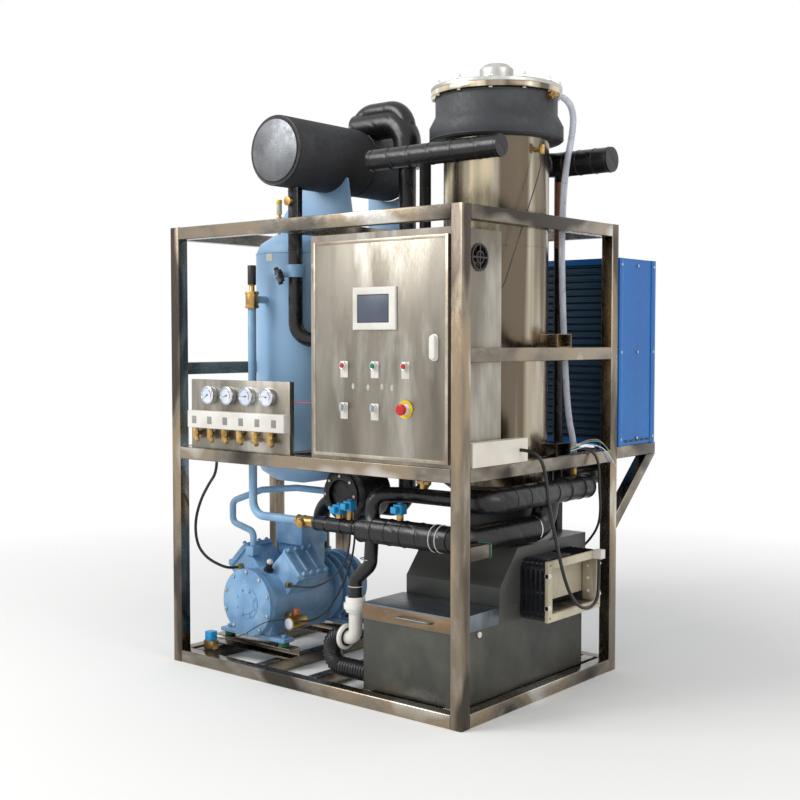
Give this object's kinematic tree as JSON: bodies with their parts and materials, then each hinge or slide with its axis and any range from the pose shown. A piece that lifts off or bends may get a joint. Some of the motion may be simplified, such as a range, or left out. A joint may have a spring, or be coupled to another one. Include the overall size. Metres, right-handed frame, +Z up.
{
  "type": "tube ice machine",
  "caption": "Tube ice machine in an open stainless frame with evaporator tower, compressor, receiver, control cabinet, air condenser, water tank and ice outlet.",
  "frame": {"origin": "centre of the frame's footprint, on the floor", "axes": "+Z up, -Y towards the cabinet door and gauges at the front, +X towards the ice outlet on the right"},
  "size_m": [1.6155, 1.4048, 2.398],
  "materials": {
    "black_foam": "matte foam",
    "black_rubber": "satin",
    "black_wire": "satin",
    "black_wrap": "glossy tape over foam",
    "blue_cast": "satin over a cast surface",
    "blue_pipe": "satin",
    "blue_sheet": "satin",
    "blue_vessel": "satin",
    "brass": "dull",
    "cabinet_steel": "brushed, smeared",
    "clear_hose": "milky, soft",
    "coil_aluminium": "matte",
    "cream_plastic": "satin",
    "cyan_plastic": "satin",
    "dark_plastic": "satin",
    "gauge_chrome": "bright",
    "green_plastic": "gloss",
    "green_rubber": "matte",
    "grey_sheet": "satin",
    "lid_steel": "brushed",
    "pale_plastic": "satin",
    "red_plastic": "gloss",
    "shell_steel": "polished, streaked",
    "stainless": "brushed, tarnished",
    "white_plastic": "satin",
    "white_pvc": "gloss",
    "zinc_bolts": "dull"
  },
  "bodies": {
    "machine": {"posts": "stainless", "top_rails": "stainless", "mid_rails": "stainless", "side_rails": "stainless", "base_rails": "stainless", "condenser_bracket": "stainless", "compressor_body": "blue_cast", "compressor_covers": "blue_cast", "compressor_feet": "green_rubber", "blue_pipes": "blue_pipe", "bolts": "zinc_bolts", "evaporator_shell": "shell_steel", "tube_bundle": "stainless", "evaporator_insulation": "black_foam", "evaporator_lid": "shell_steel", "cutter_housing": "grey_sheet", "cutter_gearmotor": "blue_cast", "ice_duct": "black_foam", "outlet_flange": "cream_plastic", "outlet_sensor": "cream_plastic", "water_tank": "grey_sheet", "water_pump": "blue_cast", "pvc_pipes": "white_pvc", "receiver": "blue_vessel", "brass_valves": "brass", "saddles": "blue_vessel", "separator": "black_wrap", "oil_separator": "black_wrap", "insulated_pipes": "black_wrap", "solenoid_coils": "cyan_plastic", "condenser_casing": "blue_sheet", "condenser_coil": "coil_aluminium", "fan_guards": "black_wire", "cabinet_box": "cabinet_steel", "cabinet_gear": "white_plastic", "gauge_panel": "stainless", "gauges": "gauge_chrome", "valve_strip": "white_plastic", "trunking": "cream_plastic", "hose_clear": "clear_hose", "cable_loop": "black_rubber", "cable_bare_end": "black_rubber", "cable_left": "black_rubber", "cable_compressor": "black_rubber"},
    "cutter": {"cutter_rotor": "stainless"},
    "lid": {"tank_lid": "lid_steel"},
    "handwheel": {"valve_handwheel": "dark_plastic"},
    "left_fan": {"fan_rotor_left": "black_wire"},
    "right_fan": {"fan_rotor_right": "black_wire"},
    "cabinet_fan": {"cabinet_fan": "dark_plastic"},
    "door": {"cabinet_door": "cabinet_steel", "door_fittings": "white_plastic"},
    "latch": {"door_latch": "white_plastic"},
    "left_button": {"button_left": "red_plastic"},
    "middle_button": {"button_middle": "green_plastic"},
    "right_button": {"button_right": "red_plastic"},
    "left_selector": {"selector_left": "pale_plastic"},
    "middle_selector": {"selector_middle": "pale_plastic"},
    "stop": {"emergency_stop": "red_plastic"},
    "flap": {"outlet_flap": "cream_plastic"}
  },
  "joints": [
    {"name": "cutter_spin", "type": "hinge", "parent": "machine", "child": "cutter", "pos_m": [0.465, 0.075, 0.52], "axis": [0, 0, 1], "continuous": true},
    {"name": "lid_hinge", "type": "hinge", "parent": "machine", "child": "lid", "pos_m": [0.472, -0.225, 0.372], "axis": [-1, 0, 0], "range_deg": [0, 25]},
    {"name": "handwheel_turn", "type": "hinge", "parent": "machine", "child": "handwheel", "pos_m": [-0.26974, -0.36337, 1.59747], "axis": [-0.4491, -0.834, -0.3208], "range_deg": [0, 900]},
    {"name": "left_fan_spin", "type": "hinge", "parent": "machine", "child": "left_fan", "pos_m": [-0.375, 0.778, 1.29], "axis": [0, 1, 0], "continuous": true},
    {"name": "right_fan_spin", "type": "hinge", "parent": "machine", "child": "right_fan", "pos_m": [0.375, 0.778, 1.29], "axis": [0, 1, 0], "continuous": true},
    {"name": "cabinet_fan_spin", "type": "hinge", "parent": "machine", "child": "cabinet_fan", "pos_m": [0.686, -0.36, 1.627], "axis": [1, 0, 0], "continuous": true},
    {"name": "door_hinge", "type": "hinge", "parent": "machine", "child": "door", "pos_m": [0.0485, -0.516, 1.3], "axis": [0, 0, -1], "range_deg": [0, 120]},
    {"name": "latch_turn", "type": "hinge", "parent": "door", "child": "latch", "pos_m": [0.6295, -0.535, 1.34], "axis": [0, 1, 0], "range_deg": [0, 90]},
    {"name": "left_selector_turn", "type": "hinge", "parent": "door", "child": "left_selector", "pos_m": [0.212, -0.53, 1.096], "axis": [0, 1, 0], "range_deg": [-45, 45]},
    {"name": "middle_selector_turn", "type": "hinge", "parent": "door", "child": "middle_selector", "pos_m": [0.359, -0.53, 1.096], "axis": [0, 1, 0], "range_deg": [-45, 45]},
    {"name": "flap_swing", "type": "hinge", "parent": "machine", "child": "flap", "pos_m": [0.75, 0.099, 0.495], "axis": [0, -1, 0], "range_deg": [0, 30]},
    {"name": "left_button_press", "type": "slide", "parent": "door", "child": "left_button", "axis": [0, 1, 0], "range_m": [0, 0.004], "stiffness_N_per_m": 400},
    {"name": "middle_button_press", "type": "slide", "parent": "door", "child": "middle_button", "axis": [0, 1, 0], "range_m": [0, 0.004], "stiffness_N_per_m": 400},
    {"name": "right_button_press", "type": "slide", "parent": "door", "child": "right_button", "axis": [0, 1, 0], "range_m": [0, 0.004], "stiffness_N_per_m": 400},
    {"name": "stop_press", "type": "slide", "parent": "door", "child": "stop", "axis": [0, 1, 0], "range_m": [0, 0.006]}
  ]
}
